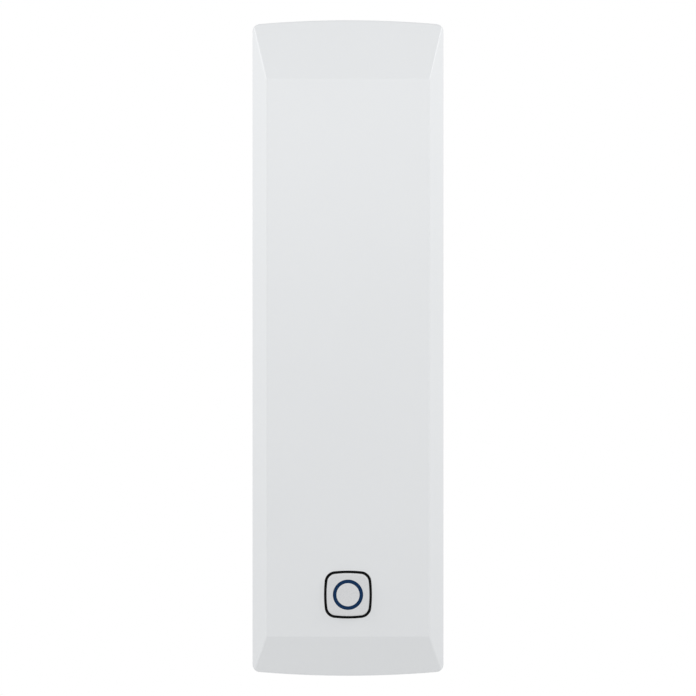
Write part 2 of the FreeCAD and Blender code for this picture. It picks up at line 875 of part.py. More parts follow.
def make_chassis():
    back = slab("chassis_back", mm.rebate_wall + mm.fit_gap, (mm.frame_rear, frame_front))
    box_front = mm.cell_depth + cell_across + mm.bay_wall
    box_rough = block(
        "bay_outside",
        (-bay_half_width, bay_half_width),
        (mm.frame_rear, box_front),
        (bay_floor - mm.bay_end_wall, bay_top + mm.bay_end_wall),
    )
    limit = housing_form("bay_limit", mm.shell_wall + mm.fit_gap, mm.frame_rear)
    box = common("bay_block", box_rough, limit)

    adds = []
    holes = []
    for i, (x, z, radius) in enumerate(chassis_screw_places()):
        adds.append(rod(f"ear_{i}", x, z, mm.ear_radius, (frame_front, ear_front)))
        clear = mm.chassis_screw_radius + mm.screw_play
        holes.append(rod(f"ear_hole_{i}", x, z, clear, (mm.frame_rear, ear_front + 1)))
        sink = mm.chassis_screw_head + mm.screw_play
        holes.append(rod(f"ear_sink_{i}", x, z, sink, (mm.frame_rear - 1, frame_front)))
    socket_radius = mm.stud_radius + mm.stud_play
    for i, (x, z) in enumerate(stud_places()):
        tip = mm.plate_thickness + mm.stud_height
        adds.append(rod(f"socket_{i}", x, z, socket_radius + mm.socket_wall, (frame_front, tip)))
        holes.append(rod(f"socket_hole_{i}", x, z, socket_radius, (mm.frame_rear - 1, tip + 1)))
    for i, (sign, x) in enumerate(mirrored_pair(mm.support_across)):
        low, high = board_bottom + mm.support_low_rise, board_top - mm.support_high_drop
        for name, z in (("low", low), ("high", high)):
            pillar = (frame_front, board_rear)
            adds.append(rod(f"support_{i}_{name}", x, z, mm.support_radius, pillar))

    bay = (bay_floor, bay_top)
    for sign, x in mirrored_pair(2 * cell_across):
        name = "left" if sign < 0 else "right"
        holes.append(upright_rod(f"bay_{name}", x, mm.cell_depth, cell_across, bay))
    mouth_x = (-2 * cell_across, 2 * cell_across)
    mouth = block("bay_mouth", mouth_x, (mm.frame_rear - 1, mm.cell_depth), bay)
    holes.append(mouth)
    reach = contact_width / 2 + mm.screw_play
    seat_depth = (mm.cell_depth - reach, mm.cell_depth + reach)
    seat = (bay_top - mm.contact_thickness - mm.screw_play, bay_top)
    holes.append(block("bridge_seat", (-cell_across, cell_across), seat_depth, seat))
    for i, (sign, x) in enumerate(mirrored_pair(2 * cell_across)):
        wide = mm.tab_width / 2 + mm.screw_play
        holes.append(
            block(
                f"tab_slot_{i}",
                (x - wide, x + wide),
                (board_front, board_front + mm.contact_thickness + mm.screw_play),
                (bay_floor - mm.bay_end_wall - 1, bay_floor + 1),
            )
        )
    solid = fuse("chassis_solid", back, box, *adds)
    trimmed = common("chassis_trimmed", solid, chassis_limit())
    finish("chassis", cut("chassis_frame", trimmed, *holes))


def chassis_limit():
    """All the room that the chassis may take: the plate in its rebate and the shell in front."""
    rear = slab("limit_back", mm.rebate_wall + mm.fit_gap, (mm.frame_rear, frame_front))
    ahead = housing_form("limit_front", mm.shell_wall + mm.fit_gap, mm.frame_rear)
    return fuse("chassis_room", rear, ahead)


def make_seal():
    outside = slab("seal_outside", mm.rebate_wall + mm.seal_play, (frame_front, ledge))
    through = (frame_front - 1, ledge + 1)
    inside = slab("seal_inside", mm.rebate_wall + mm.seal_width, through)
    clear = []
    for i, (x, z, radius) in enumerate(chassis_screw_places()):
        clear.append(rod(f"seal_ear_{i}", x, z, mm.ear_radius + mm.seal_clear, through))
    tube = mm.stud_radius + mm.stud_play + mm.socket_wall + mm.screw_play
    x, z = next(stud_places())
    clear.append(rod("seal_socket", x, z, tube, through))
    finish("chassis_seal", cut("seal", outside, inside, *clear))


def make_chassis_screws():
    screws = []
    for i, (x, z, radius) in enumerate(chassis_screw_places()):
        head_rear = frame_front - mm.chassis_screw_head_height
        head = rod(f"screw_head_{i}", x, z, mm.chassis_screw_head, (head_rear, frame_front))
        end = ear_front + mm.chassis_screw_bite - mm.chassis_screw_tip_gap
        shank = rod(f"screw_shank_{i}", x, z, mm.chassis_screw_radius, (frame_front, end))
        cross = cross_slot(f"screw_cross_{i}", x, z, mm.chassis_screw_head, head_rear)
        screws.append(cut(f"screw_{i}", fuse(f"screw_solid_{i}", head, shank), *cross))
    finish("chassis_screws", group("chassis_screw_set", *screws))


def make_cells():
    for sign, x in mirrored_pair(2 * cell_across):
        name = "battery_left" if sign < 0 else "battery_right"
        if sign < 0:
            start = bay_floor + mm.contact_thickness + mm.spring_height
            end = start + mm.cell_length
            nub = (end, end + mm.nub_height)
        else:
            end = bay_top - mm.contact_thickness - mm.spring_height
            start = end - mm.cell_length
            nub = (start - mm.nub_height, start)
        can = upright_rod(name + "_can", x, mm.cell_depth, mm.cell_radius, (start, end))
        tip = upright_rod(name + "_nub", x, mm.cell_depth, mm.nub_radius, nub)
        finish(name, fuse(name + "_solid", can, tip))


def coil(name, x, plate_face, direction):
    """A conical spring from a contact plate to the flat end of a cell."""
    wire = mm.spring_wire
    height = mm.spring_height - 2 * wire
    spine = doc.addObject("Part::Helix", name + "_spine")
    slant = f"atan(({mm.spring_wide.text} - {mm.spring_narrow.text}) / {height.text})"
    bind(spine, Radius=mm.spring_narrow, Height=height, Pitch=height / mm.spring_turns)
    spine.setExpression("Angle", slant)
    ring = doc.addObject("Part::Circle", name + "_wire")
    bind(ring, Radius=wire)
    ring.Placement = Placement(Vector(), Rotation(Vector(1, 0, 0), 90))
    bind(ring, Placement__Base__x=mm.spring_narrow)
    doc.recompute()
    sweep = doc.addObject("Part::Sweep", name + "_sweep")
    sweep.Sections = [ring]
    sweep.Spine = (spine, [f"Edge{i}" for i in range(1, len(spine.Shape.Edges) + 1)])
    sweep.Solid = True
    sweep.Frenet = True
    placed = doc.addObject("Part::Compound", name)
    placed.Links = [sweep]
    turn = 180 if direction > 0 else 0
    placed.Placement = Placement(Vector(), Rotation(Vector(1, 0, 0), turn))
    end = plate_face + direction * (mm.spring_height - wire)
    bind(placed, Placement__Base__x=x, Placement__Base__y=-mm.cell_depth, Placement__Base__z=end)
    return placed


def contact_plate(name, x, z):
    low = mm.cell_depth - contact_width / 2
    return block(name, x, (low, low + contact_width), z)


def tab(name, x):
    """The strip that runs from a contact plate through the end wall on to the board."""
    half = mm.tab_width / 2
    return block(
        name,
        (x - half, x + half),
        (board_front, board_front + mm.contact_thickness),
        (bay_floor - mm.tab_length, bay_floor + mm.contact_thickness),
    )


def make_contacts():
    half = contact_width / 2
    plate_face = bay_floor + mm.contact_thickness
    low_z = (bay_floor, plate_face)
    left, right = -cell_across, cell_across

    plate = contact_plate("negative_plate", (left - half, left + half), low_z)
    spring = coil("negative_spring", left, plate_face, 1)
    strip = fuse("negative_strip", plate, tab("negative_tab", left))
    finish("contact_negative", group("negative", strip, spring))

    plate = contact_plate("positive_plate", (right - half, right + half), low_z)
    dimple = upright_rod(
        "positive_dimple", right, mm.cell_depth, mm.nub_radius / 2,
        (plate_face, plate_face + mm.contact_dimple),
    )
    finish("contact_positive", fuse("positive", plate, tab("positive_tab", right), dimple))

    top_z = (bay_top - mm.contact_thickness, bay_top)
    plate = contact_plate("bridge_plate", (left - half, right + half), top_z)
    dimple = upright_rod(
        "bridge_dimple", left, mm.cell_depth, mm.nub_radius / 2,
        (bay_top - mm.contact_thickness - mm.contact_dimple, bay_top),
    )
    spring = coil("bridge_spring", right, bay_top - mm.contact_thickness, -1)
    strip = fuse("bridge_strip", plate, dimple)
    finish("contact_bridge", group("bridge", strip, spring))


def make_aerial():
    """A wire from the edge of the board up beside the battery box."""
    radius = mm.aerial_radius
    depth = board_front + radius
    start = board_half_width - mm.aerial_radius * 4
    side = shell_inside - mm.aerial_inset
    foot = button_level + mm.aerial_rise
    lead = doc.addObject("Part::Cylinder", "aerial_lead")
    lead.Placement = Placement(Vector(), Rotation(Vector(0, 1, 0), 90))
    bind(lead, Radius=radius, Height=side - start)
    elbow = doc.addObject("Part::Sphere", "aerial_elbow")
    bind(elbow, Radius=radius)
    for item, x in ((lead, start), (elbow, side)):
        bind(item, Placement__Base__x=x, Placement__Base__y=-depth)
        bind(item, Placement__Base__z=foot)
    mast = upright_rod("aerial_mast", side, depth, radius, (foot, bay_top + mm.aerial_past_bay))
    finish("antenna_wire", fuse("aerial", lead, elbow, mast))


# --- wall plate ---------------------------------------------------------------------------------


def coring():
    """Two columns of pockets in the face on the wall, with ribs between them."""
    inset = mm.rebate_wall + mm.plate_gap + mm.plate_rim
    half = body_width / 2 - inset
    low = inset + mm.end_bow - half_length
    pitch = -2 * low / mm.plate_rows
    rib = mm.plate_rib / 2
    for row in range(SIZES["plate_rows"]):
        z = (low + row * pitch + rib, low + (row + 1) * pitch - rib)
        for side, x in (("left", (-half, -rib)), ("right", (rib, half))):
            yield block(f"coring_{side}_{row}", x, (-mm.plate_coring, mm.plate_coring), z)


def make_wall_plate():
    plate = slab("plate_slab", mm.rebate_wall + mm.plate_gap, (0.0, mm.plate_thickness))
    spacing = mm.wall_screw_spacing / 2
    keep = []
    for i, (x, z) in enumerate(stud_places()):
        foot = mm.stud_radius + mm.plate_rib
        keep.append(rod(f"stud_pad_{i}", x, z, foot, (0.0, mm.plate_thickness)))
    for name, z in (("low", -spacing), ("high", spacing)):
        island = mm.wall_head_radius + mm.plate_rib
        keep.append(rod(f"screw_pad_{name}", 0.0, z, island, (0.0, mm.plate_thickness)))
    rough = fuse("plate_solid", cut("plate_cored", plate, *coring()), *keep)
    solid = common("plate_trimmed", rough, plate)

    studs = []
    for i, (x, z) in enumerate(stud_places()):
        tip = mm.plate_thickness + mm.stud_height
        post = rod(f"stud_{i}", x, z, mm.stud_radius, (mm.plate_thickness / 2, tip))
        half_slot = mm.stud_slot / 2
        slot = block(
            f"stud_slot_{i}",
            (x - half_slot, x + half_slot),
            (mm.plate_thickness + mm.stud_height / 4, tip + 1),
            (z - mm.stud_radius * 2, z + mm.stud_radius * 2),
        )
        studs.append(cut(f"split_stud_{i}", post, slot))

    through = (-mm.plate_thickness, mm.plate_thickness * 2)
    sink = mm.wall_head_radius - mm.wall_hole_radius
    cone = (mm.plate_thickness - sink, mm.plate_thickness)
    hole, head = mm.wall_hole_radius, mm.wall_head_radius
    tools = []
    for name, z in (("low", -spacing), ("high", spacing)):
        tools.append(rod(f"wall_hole_{name}", 0.0, z, hole, through))
        tools.append(rod(f"wall_sink_{name}", 0.0, z, hole, cone, front_radius=head))
    pad_rear = mm.plate_thickness - mm.pad_recess
    pad_front = mm.cell_depth - mm.cell_radius - mm.foam_gap
    tools.append(foam_form("foam_recess", (pad_rear, mm.plate_thickness + 1)))
    finish("wall_plate", fuse("plate", cut("plate_drilled", solid, *tools), *studs))
    finish("battery_pad", foam_form("foam", (pad_rear, pad_front)))


def foam_form(name, depth):
    across = mm.foam_width / 2
    middle = bay_floor + mm.foam_rise
    z = (middle - mm.foam_height / 2, middle + mm.foam_height / 2)
    return block(name, (-across, across), depth, z)


make_cover()
make_button()
make_switch()
make_board()
make_chips()
make_leds()
make_capacitors()
make_passives()
make_chassis()
make_seal()
make_chassis_screws()
make_cells()
make_contacts()
make_aerial()
make_wall_plate()
doc.recompute()

faults = [o.Name for o in doc.Objects if "Invalid" in o.State or "Error" in o.State]
for node, item in finished.items():
    shape = item.Shape
    if shape.isNull() or not shape.isValid() or not shape.Solids:
        faults.append(node)
if faults:
    raise RuntimeError(f"cannot be built: {faults}")

os.makedirs("parts", exist_ok=True)
for node, item in finished.items():
    item.Shape.exportStep(os.path.join("parts", node + ".step"))
print(f"{len(finished)} sub-parts written")
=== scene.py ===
import math

import bmesh
import bpy
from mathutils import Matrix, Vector


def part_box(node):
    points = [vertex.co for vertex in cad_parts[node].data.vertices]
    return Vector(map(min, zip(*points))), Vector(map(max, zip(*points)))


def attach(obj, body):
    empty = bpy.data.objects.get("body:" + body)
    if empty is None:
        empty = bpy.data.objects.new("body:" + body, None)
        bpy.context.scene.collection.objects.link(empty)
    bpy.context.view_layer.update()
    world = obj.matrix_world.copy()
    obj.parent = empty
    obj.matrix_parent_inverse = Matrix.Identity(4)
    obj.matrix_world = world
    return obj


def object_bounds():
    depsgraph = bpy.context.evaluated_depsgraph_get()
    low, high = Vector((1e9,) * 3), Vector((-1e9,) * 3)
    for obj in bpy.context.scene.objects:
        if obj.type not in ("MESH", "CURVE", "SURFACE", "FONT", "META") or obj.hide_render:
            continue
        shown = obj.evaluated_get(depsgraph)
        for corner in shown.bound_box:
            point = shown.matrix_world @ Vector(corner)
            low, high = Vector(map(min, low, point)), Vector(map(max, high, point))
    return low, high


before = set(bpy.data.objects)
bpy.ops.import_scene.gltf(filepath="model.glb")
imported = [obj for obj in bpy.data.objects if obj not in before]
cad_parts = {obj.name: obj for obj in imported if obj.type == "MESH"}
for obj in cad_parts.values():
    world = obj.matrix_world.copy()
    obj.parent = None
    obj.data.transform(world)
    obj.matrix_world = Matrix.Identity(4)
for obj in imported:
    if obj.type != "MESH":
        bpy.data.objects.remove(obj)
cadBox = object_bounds()
boardLow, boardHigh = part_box("circuit_board")
boardFace = boardLow.y  # where the front face of the board lies
capLow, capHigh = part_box("button_cap")
buttonLevel = (capLow.z + capHigh.z) / 2
mm = 0.001


def linear(hexCode):
    # an sRGB hex colour as the linear colour that a shader takes
    parts = [int(hexCode[i:i + 2], 16) / 255 for i in (1, 3, 5)]
    return [c / 12.92 if c <= 0.04045 else ((c + 0.055) / 1.055) ** 2.4 for c in parts] + [1.0]


def addNode(tree, kind, settings=None, links=None):
    # settings are the node's own properties or its sockets' values, links are (socket, source)
    node = tree.nodes.new(kind)
    for name, value in (settings or {}).items():
        if isinstance(name, str) and hasattr(node, name):
            setattr(node, name, value)
        else:
            node.inputs[name].default_value = value
    for socket, source in (links or {}).items():
        tree.links.new(source, node.inputs[socket])
    return node


def startMaterial(name, look):
    # look holds the shader's own uniform values
    material = bpy.data.materials.new(name)
    material.use_nodes = True
    tree = material.node_tree
    shader = tree.nodes["Principled BSDF"]
    for socket, value in look.items():
        shader.inputs[socket].default_value = value
    spot = addNode(tree, "ShaderNodeTexCoord").outputs["Object"]
    return material, tree, shader, spot


def noiseAt(tree, spot, period, detail=3.0):
    # the output of a noise whose lumps are about period across
    return addNode(tree, "ShaderNodeTexNoise", {"Scale": 1 / period, "Detail": detail, "Roughness": 0.6},
                   {"Vector": spot}).outputs[0]


def blendColours(tree, factor, one, other):
    # one and other are hex colours or sockets
    mix = addNode(tree, "ShaderNodeMix", {"data_type": "RGBA"}, {0: factor})
    for socket, value in ((6, one), (7, other)):
        if isinstance(value, str):
            mix.inputs[socket].default_value = linear(value)
        else:
            tree.links.new(value, mix.inputs[socket])
    return mix.outputs[2]


def aboveLevel(tree, value, level, soft):
    # 0 below the level and 1 above it
    return addNode(tree, "ShaderNodeMapRange", {"From Min": level - soft, "From Max": level + soft},
                   {0: value}).outputs[0]


def between(tree, value, low, high, soft):
    # 1 between the two levels and 0 outside them
    above = aboveLevel(tree, value, low, soft)
    past = aboveLevel(tree, value, high, soft)
    return addNode(tree, "ShaderNodeMath", {"operation": "SUBTRACT"}, {0: above, 1: past}).outputs[0]


def setGloss(tree, shader, pattern, low, high):
    # the roughness goes from low to high with the pattern
    ramp = addNode(tree, "ShaderNodeMapRange", {"To Min": low, "To Max": high}, {0: pattern})
    tree.links.new(ramp.outputs[0], shader.inputs["Roughness"])


def setBump(tree, shader, pattern, depth, inward=False):
    bump = addNode(tree, "ShaderNodeBump", {"Distance": depth, "invert": inward}, {"Height": pattern})
    tree.links.new(bump.outputs[0], shader.inputs["Normal"])


def skinned(name, finish):
    # a surface with a slight flow of tone, a grain that breaks up its gloss, and the grain's bump
    material, tree, shader, spot = startMaterial(
        name, {"IOR": finish["ior"], "Specular IOR Level": finish.get("shine", 0.5)})
    colour = blendColours(tree, noiseAt(tree, spot, finish["flow"], 2.0), finish["colour"], finish["shade"])
    tree.links.new(colour, shader.inputs["Base Color"])
    skin = noiseAt(tree, spot, finish["grain"])
    setGloss(tree, shader, skin, finish["roughness"] - 0.05, finish["roughness"] + 0.06)
    setBump(tree, shader, skin, finish["depth"])
    return material


def dress(material, *names):
    for name in names:
        piece = bpy.data.objects[name]
        piece.data.materials.clear()
        piece.data.materials.append(material)


# Satin ABS in a cool white, moulded against a fine spark-eroded steel: a soft gloss, no mirror.
# The real grain is finer; this is as coarse as it needs to be to show.
housingAbs = skinned("mouldedAbsWhite", {
    "colour": "#e8eaeb", "shade": "#e5e7e8", "ior": 1.54, "roughness": 0.33,
    "flow": 24 * mm, "grain": 0.35 * mm, "depth": 0.0006 * mm})
# The same ABS from a polished tool, a little greyer and glossier than the cover.
buttonAbs = skinned("polishedAbsGrey", {
    "colour": "#dbdcdd", "shade": "#d9dadb", "ior": 1.54, "roughness": 0.27,
    "flow": 6 * mm, "grain": 0.3 * mm, "depth": 0.0003 * mm})
# ABS from a bead-blasted tool, for what faces the wall: duller, with a coarser grain.
innerAbs = skinned("blastedAbsWhite", {
    "colour": "#dededb", "shade": "#d8d8d6", "ior": 1.54, "roughness": 0.5,
    "flow": 18 * mm, "grain": 0.4 * mm, "depth": 0.004 * mm})
# Polycarbonate tinted deep blue and blasted, unlit: it keeps its depth of colour from the front.
ringPolycarbonate = skinned("tintedPolycarbonate", {
    "colour": "#00284c", "shade": "#022e56", "ior": 1.585, "roughness": 0.35, "shine": 0.1,
    "flow": 1.5 * mm, "grain": 0.3 * mm, "depth": 0.0006 * mm})
# Silicone rubber, black, with its colour pushed close to pure black as painted shade of the narrow gap
# round the button; its gloss is soft and dim.
blackSiliconeGapShade = skinned("siliconeRubberBlackGapShade", {
    "colour": "#050506", "shade": "#0a0a0b", "ior": 1.41, "roughness": 0.7, "shine": 0.2,
    "flow": 2 * mm, "grain": 0.2 * mm, "depth": 0.003 * mm})
# The same rubber in grey, for the seal: soft and dull, with a little dust in its tone.
greySilicone = skinned("siliconeRubberGrey", {
    "colour": "#4a4b4d", "shade": "#414244", "ior": 1.41, "roughness": 0.6,
    "flow": 3 * mm, "grain": 0.2 * mm, "depth": 0.004 * mm})
# Nylon with short glass fibres, which roughen its black skin a little.
blackNylon = skinned("glassFilledNylon", {
    "colour": "#141415", "shade": "#1d1d1e", "ior": 1.53, "roughness": 0.45,
    "flow": 1.5 * mm, "grain": 0.15 * mm, "depth": 0.006 * mm})
# The aerial's PVC insulation: black, smooth and slightly waxy.
wirePvc = skinned("extrudedPvc", {
    "colour": "#101011", "shade": "#191a1b", "ior": 1.53, "roughness": 0.38,
    "flow": 3 * mm, "grain": 0.25 * mm, "depth": 0.004 * mm})

pinMarks = {"rows": 6, "rim": 1.6 * mm, "rib": 1.2 * mm, "radius": 1.6 * mm, "width": 0.12 * mm,
            "depth": 0.03 * mm}


def addPinMarks(material):
    # faint rings that the ejector pins leave, one in the middle of each pocket of the wall plate
    marks = pinMarks
    low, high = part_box("wall_plate")
    pitch = (high.z - low.z - 2 * marks["rim"]) / marks["rows"]
    across = (high.x - marks["rim"] + marks["rib"] / 2) / 2
    tree = material.node_tree
    shader = tree.nodes["Principled BSDF"]
    skinBump = shader.inputs["Normal"].links[0].from_node
    spot = addNode(tree, "ShaderNodeTexCoord").outputs["Object"]
    parts = addNode(tree, "ShaderNodeSeparateXYZ", {}, {0: spot})
    sideways = addNode(tree, "ShaderNodeMath", {"operation": "ABSOLUTE"},
                       {0: parts.outputs["X"]}).outputs[0]
    offX = addNode(tree, "ShaderNodeMath", {"operation": "SUBTRACT", 1: across}, {0: sideways}).outputs[0]
    lifted = addNode(tree, "ShaderNodeMath", {"operation": "ADD", 1: pitch * marks["rows"]},
                     {0: parts.outputs["Z"]}).outputs[0]
    inRow = addNode(tree, "ShaderNodeMath", {"operation": "MODULO", 1: pitch}, {0: lifted}).outputs[0]
    offZ = addNode(tree, "ShaderNodeMath", {"operation": "SUBTRACT", 1: pitch / 2}, {0: inRow}).outputs[0]
    flat = addNode(tree, "ShaderNodeCombineXYZ", {}, {"X": offX, "Y": offZ}).outputs[0]
    reach = addNode(tree, "ShaderNodeVectorMath", {"operation": "LENGTH"}, {0: flat}).outputs["Value"]
    fromRing = addNode(tree, "ShaderNodeMath", {"operation": "SUBTRACT", 1: marks["radius"]},
                       {0: reach}).outputs[0]
    gap = addNode(tree, "ShaderNodeMath", {"operation": "ABSOLUTE"}, {0: fromRing}).outputs[0]
    groove = addNode(tree, "ShaderNodeMapRange", {"From Max": marks["width"]}, {0: gap}).outputs[0]
    bump = addNode(tree, "ShaderNodeBump", {"Distance": marks["depth"]},
                   {"Height": groove, "Normal": skinBump.outputs[0]})
    tree.links.new(bump.outputs[0], shader.inputs["Normal"])


dress(housingAbs, "front_cover")
dress(buttonAbs, "button_cap")
dress(innerAbs, "chassis")
plateAbs = innerAbs.copy()
plateAbs.name = "blastedAbsPinMarked"
addPinMarks(plateAbs)
dress(plateAbs, "wall_plate")
dress(ringPolycarbonate, "light_ring")
# the gasket's near-black colour is partly real black rubber and partly painted shade of the gap round the
# button
dress(blackSiliconeGapShade, "button_gasket")
dress(greySilicone, "chassis_seal")
dress(blackNylon, "switch_base", "switch_plunger")
dress(wirePvc, "antenna_wire")


foam = {"cell": 0.5 * mm, "depth": 0.05 * mm, "roughness": 0.85}


def closedCellFoam():
    # polyethylene foam: a matt charcoal skin pocked with small cells, with painted shade down in each
    # cell's hollow
    material, tree, shader, spot = startMaterial(
        "closedCellFoam", {"IOR": 1.51, "Roughness": foam["roughness"]})
    pocks = addNode(tree, "ShaderNodeTexVoronoi", {"Scale": 1 / foam["cell"]},
                    {"Vector": spot}).outputs["Distance"]
    # the colour darkens towards the bottom of each pock, which is painted shade of the hollows
    tree.links.new(blendColours(tree, pocks, "#1a1a1b", "#2c2d2e"), shader.inputs["Base Color"])
    setBump(tree, shader, pocks, foam["depth"])
    dress(material, "battery_pad")


acrylic = {"haze": 1.5 * mm, "clearest": 0.08, "dullest": 0.2}


def mouldedAcrylic():
    # clear acrylic with faint flow haze; it lets the light of the two small lamps through
    material, tree, shader, spot = startMaterial(
        "mouldedAcrylic", {"IOR": 1.49, "Transmission Weight": 0.9})
    haze = noiseAt(tree, spot, acrylic["haze"])
    tree.links.new(blendColours(tree, haze, "#eef4f6", "#e2ecf0"), shader.inputs["Base Color"])
    setGloss(tree, shader, haze, acrylic["clearest"], acrylic["dullest"])
    dress(material, "light_guide")


closedCellFoam()
mouldedAcrylic()
print("plastics and rubber done")


def rolledMetal(name, finish):
    # sheet or wire that keeps the long marks of its rolling, with a little dulling in patches
    material, tree, shader, spot = startMaterial(name, {"Metallic": 1.0})
    stretch = addNode(tree, "ShaderNodeMapping", {"Scale": finish["stretch"]}, {"Vector": spot}).outputs[0]
    marks = noiseAt(tree, stretch, finish["marks"], 4.0)
    patches = noiseAt(tree, spot, finish["patches"], 2.0)
    colour = blendColours(tree, patches, finish["colour"], finish["shade"])
    tree.links.new(colour, shader.inputs["Base Color"])
    setGloss(tree, shader, marks, finish["roughness"] - 0.08, finish["roughness"] + 0.1)
    setBump(tree, shader, marks, finish["depth"])
    return material


# Zinc plating, clear passivated: a cool, slightly cloudy silver.
zincSteel = rolledMetal("zincPlatedSteel", {
    "colour": "#c9ccce", "shade": "#b4b8bc", "roughness": 0.34,
    "stretch": (1, 1, 1), "marks": 0.3 * mm, "patches": 1.2 * mm, "depth": 0.004 * mm})
# Tin over thin sheet: a soft grey sheen drawn out along the strip.
tinnedSteel = rolledMetal("tinnedSteel", {
    "colour": "#cfcfcb", "shade": "#bdbdb8", "roughness": 0.3,
    "stretch": (1, 1, 0.1), "marks": 0.12 * mm, "patches": 2 * mm, "depth": 0.003 * mm})
# Hard-rolled stainless: darker and sharper than the tin.
springStainless = rolledMetal("springStainless", {
    "colour": "#c6c4bf", "shade": "#b7b5b0", "roughness": 0.22,
    "stretch": (0.1, 1, 1), "marks": 0.1 * mm, "patches": 1 * mm, "depth": 0.002 * mm})
# Nickel plating: bright, with nickel's warm tone.
nickelSpring = rolledMetal("nickelPlatedSteel", {
    "colour": "#d2cdc1", "shade": "#c2bcae", "roughness": 0.25,
    "stretch": (1, 1, 0.12), "marks": 0.15 * mm, "patches": 3 * mm, "depth": 0.003 * mm})
# The crystal's lid, nickel-iron alloy: a yellowish grey with fine marks across it.
seamLid = rolledMetal("seamWeldedLid", {
    "colour": "#cdc8b8", "shade": "#bcb7a6", "roughness": 0.28,
    "stretch": (0.15, 1, 1), "marks": 0.1 * mm, "patches": 0.8 * mm, "depth": 0.002 * mm})
dress(zincSteel, "chassis_screws", "board_screws")
dress(tinnedSteel, "switch_frame", "radio_shield")
dress(springStainless, "switch_dome")
dress(nickelSpring, "contact_negative", "contact_positive", "contact_bridge")
dress(seamLid, "crystal")
print("metals done")

boardLook = {
    "trackPitch": 0.8 * mm,
    "trackShare": 0.6,  # of the pitch; the rest is gap
    "trackLength": 9,  # in pitches
    "trackRise": 0.03 * mm,
    "areaSize": 8 * mm,  # of the patches whose tracks run one way
    "weave": 3 * mm,
}


def trackRows(tree, along, across):
    # tracks as long bricks that run along the first coordinate
    look = boardLook
    pitch = look["trackPitch"]
    flat = addNode(tree, "ShaderNodeCombineXYZ", {}, {"X": along, "Y": across}).outputs[0]
    return addNode(tree, "ShaderNodeTexBrick",
                   {"Scale": 1.0, "Brick Width": pitch * look["trackLength"], "Row Height": pitch,
                    "Mortar Size": pitch * (1 - look["trackShare"]) / 2, "Mortar Smooth": 0.3,
                    "Color1": (1, 1, 1, 1), "Color2": (0.6, 0.6, 0.6, 1),
                    "Mortar": (0, 0, 0, 1)}, {"Vector": flat}).outputs["Color"]


def solderMaskedLaminate():
    # Glass-fibre laminate under green solder mask: copper tracks show through as lighter, raised
    # runs, some up the board and some across it, and the cut edge shows the raw weave.
    look = boardLook
    material, tree, shader, spot = startMaterial("solderMaskedLaminate", {"IOR": 1.55, "Roughness": 0.28})
    parts = addNode(tree, "ShaderNodeSeparateXYZ", {}, {0: spot})
    upward = trackRows(tree, parts.outputs["Z"], parts.outputs["X"])
    sideways = trackRows(tree, parts.outputs["X"], parts.outputs["Z"])
    areas = addNode(tree, "ShaderNodeTexVoronoi", {"Scale": 1 / look["areaSize"], "distance": "CHEBYCHEV"},
                    {"Vector": spot}).outputs["Color"]
    pick = addNode(tree, "ShaderNodeSeparateColor", {}, {0: areas}).outputs[0]
    tracks = blendColours(tree, aboveLevel(tree, pick, 0.5, 0.01), upward, sideways)
    mask = blendColours(tree, tracks, "#0d4c28", "#175f38")
    weave = addNode(tree, "ShaderNodeTexWave", {"Scale": 1 / look["weave"], "Distortion": 1.0},
                    {"Vector": spot}).outputs["Fac"]
    raw = blendColours(tree, weave, "#b9b08a", "#a39a72")
    face = addNode(tree, "ShaderNodeNewGeometry").outputs["Normal"]
    facing = addNode(tree, "ShaderNodeSeparateXYZ", {}, {0: face}).outputs["Y"]
    flatness = addNode(tree, "ShaderNodeMath", {"operation": "ABSOLUTE"}, {0: facing}).outputs[0]
    isFace = aboveLevel(tree, flatness, 0.5, 0.1)
    tree.links.new(blendColours(tree, isFace, raw, mask), shader.inputs["Base Color"])
    setBump(tree, shader, tracks, look["trackRise"])
    dress(material, "circuit_board")


def nearness(tree, spot, place, radius):
    # 1 inside a rod square to the wall round place, 0 outside it
    shifted = addNode(tree, "ShaderNodeMapping",
                      {"Location": (-place[0], 0, -place[1]), "Scale": (1, 0, 1)},
                      {"Vector": spot}).outputs[0]
    reach = addNode(tree, "ShaderNodeVectorMath", {"operation": "LENGTH"}, {0: shifted}).outputs["Value"]
    return addNode(tree, "ShaderNodeMapRange", {"From Min": radius * 1.05, "From Max": radius * 0.95},
                   {0: reach}).outputs[0]


chipLook = {"grain": 0.12 * mm, "depth": 0.006 * mm, "markInset": 0.8 * mm, "markRadius": 0.28 * mm}


def mouldingCompound(chip):
    # black moulding compound with a fine blasted grain, and a smooth round mark by pin one
    look = chipLook
    low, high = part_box(chip)
    material, tree, shader, spot = startMaterial("mouldingCompound_" + chip, {"IOR": 1.55})
    grain = noiseAt(tree, spot, look["grain"])
    body = blendColours(tree, grain, "#151516", "#222224")
    corner = (low.x + look["markInset"], high.z - look["markInset"])
    isMark = nearness(tree, spot, corner, look["markRadius"])
    tree.links.new(blendColours(tree, isMark, body, "#3a3a3c"), shader.inputs["Base Color"])
    setGloss(tree, shader, grain, 0.42, 0.58)
    setBump(tree, shader, grain, look["depth"])
    dress(material, chip)


solderMaskedLaminate()
mouldingCompound("radio_chip")
mouldingCompound("processor_chip")

cellFilm = {
    "shoulder": 1.4 * mm,  # bare at the nub's end, nub included
    "foot": 0.7 * mm,  # bare at the flat end
    "bandFrom": 5 * mm,
    "bandTo": 6.5 * mm,
    "scuff": 0.3 * mm,
    "scuffDepth": 0.01 * mm,
}


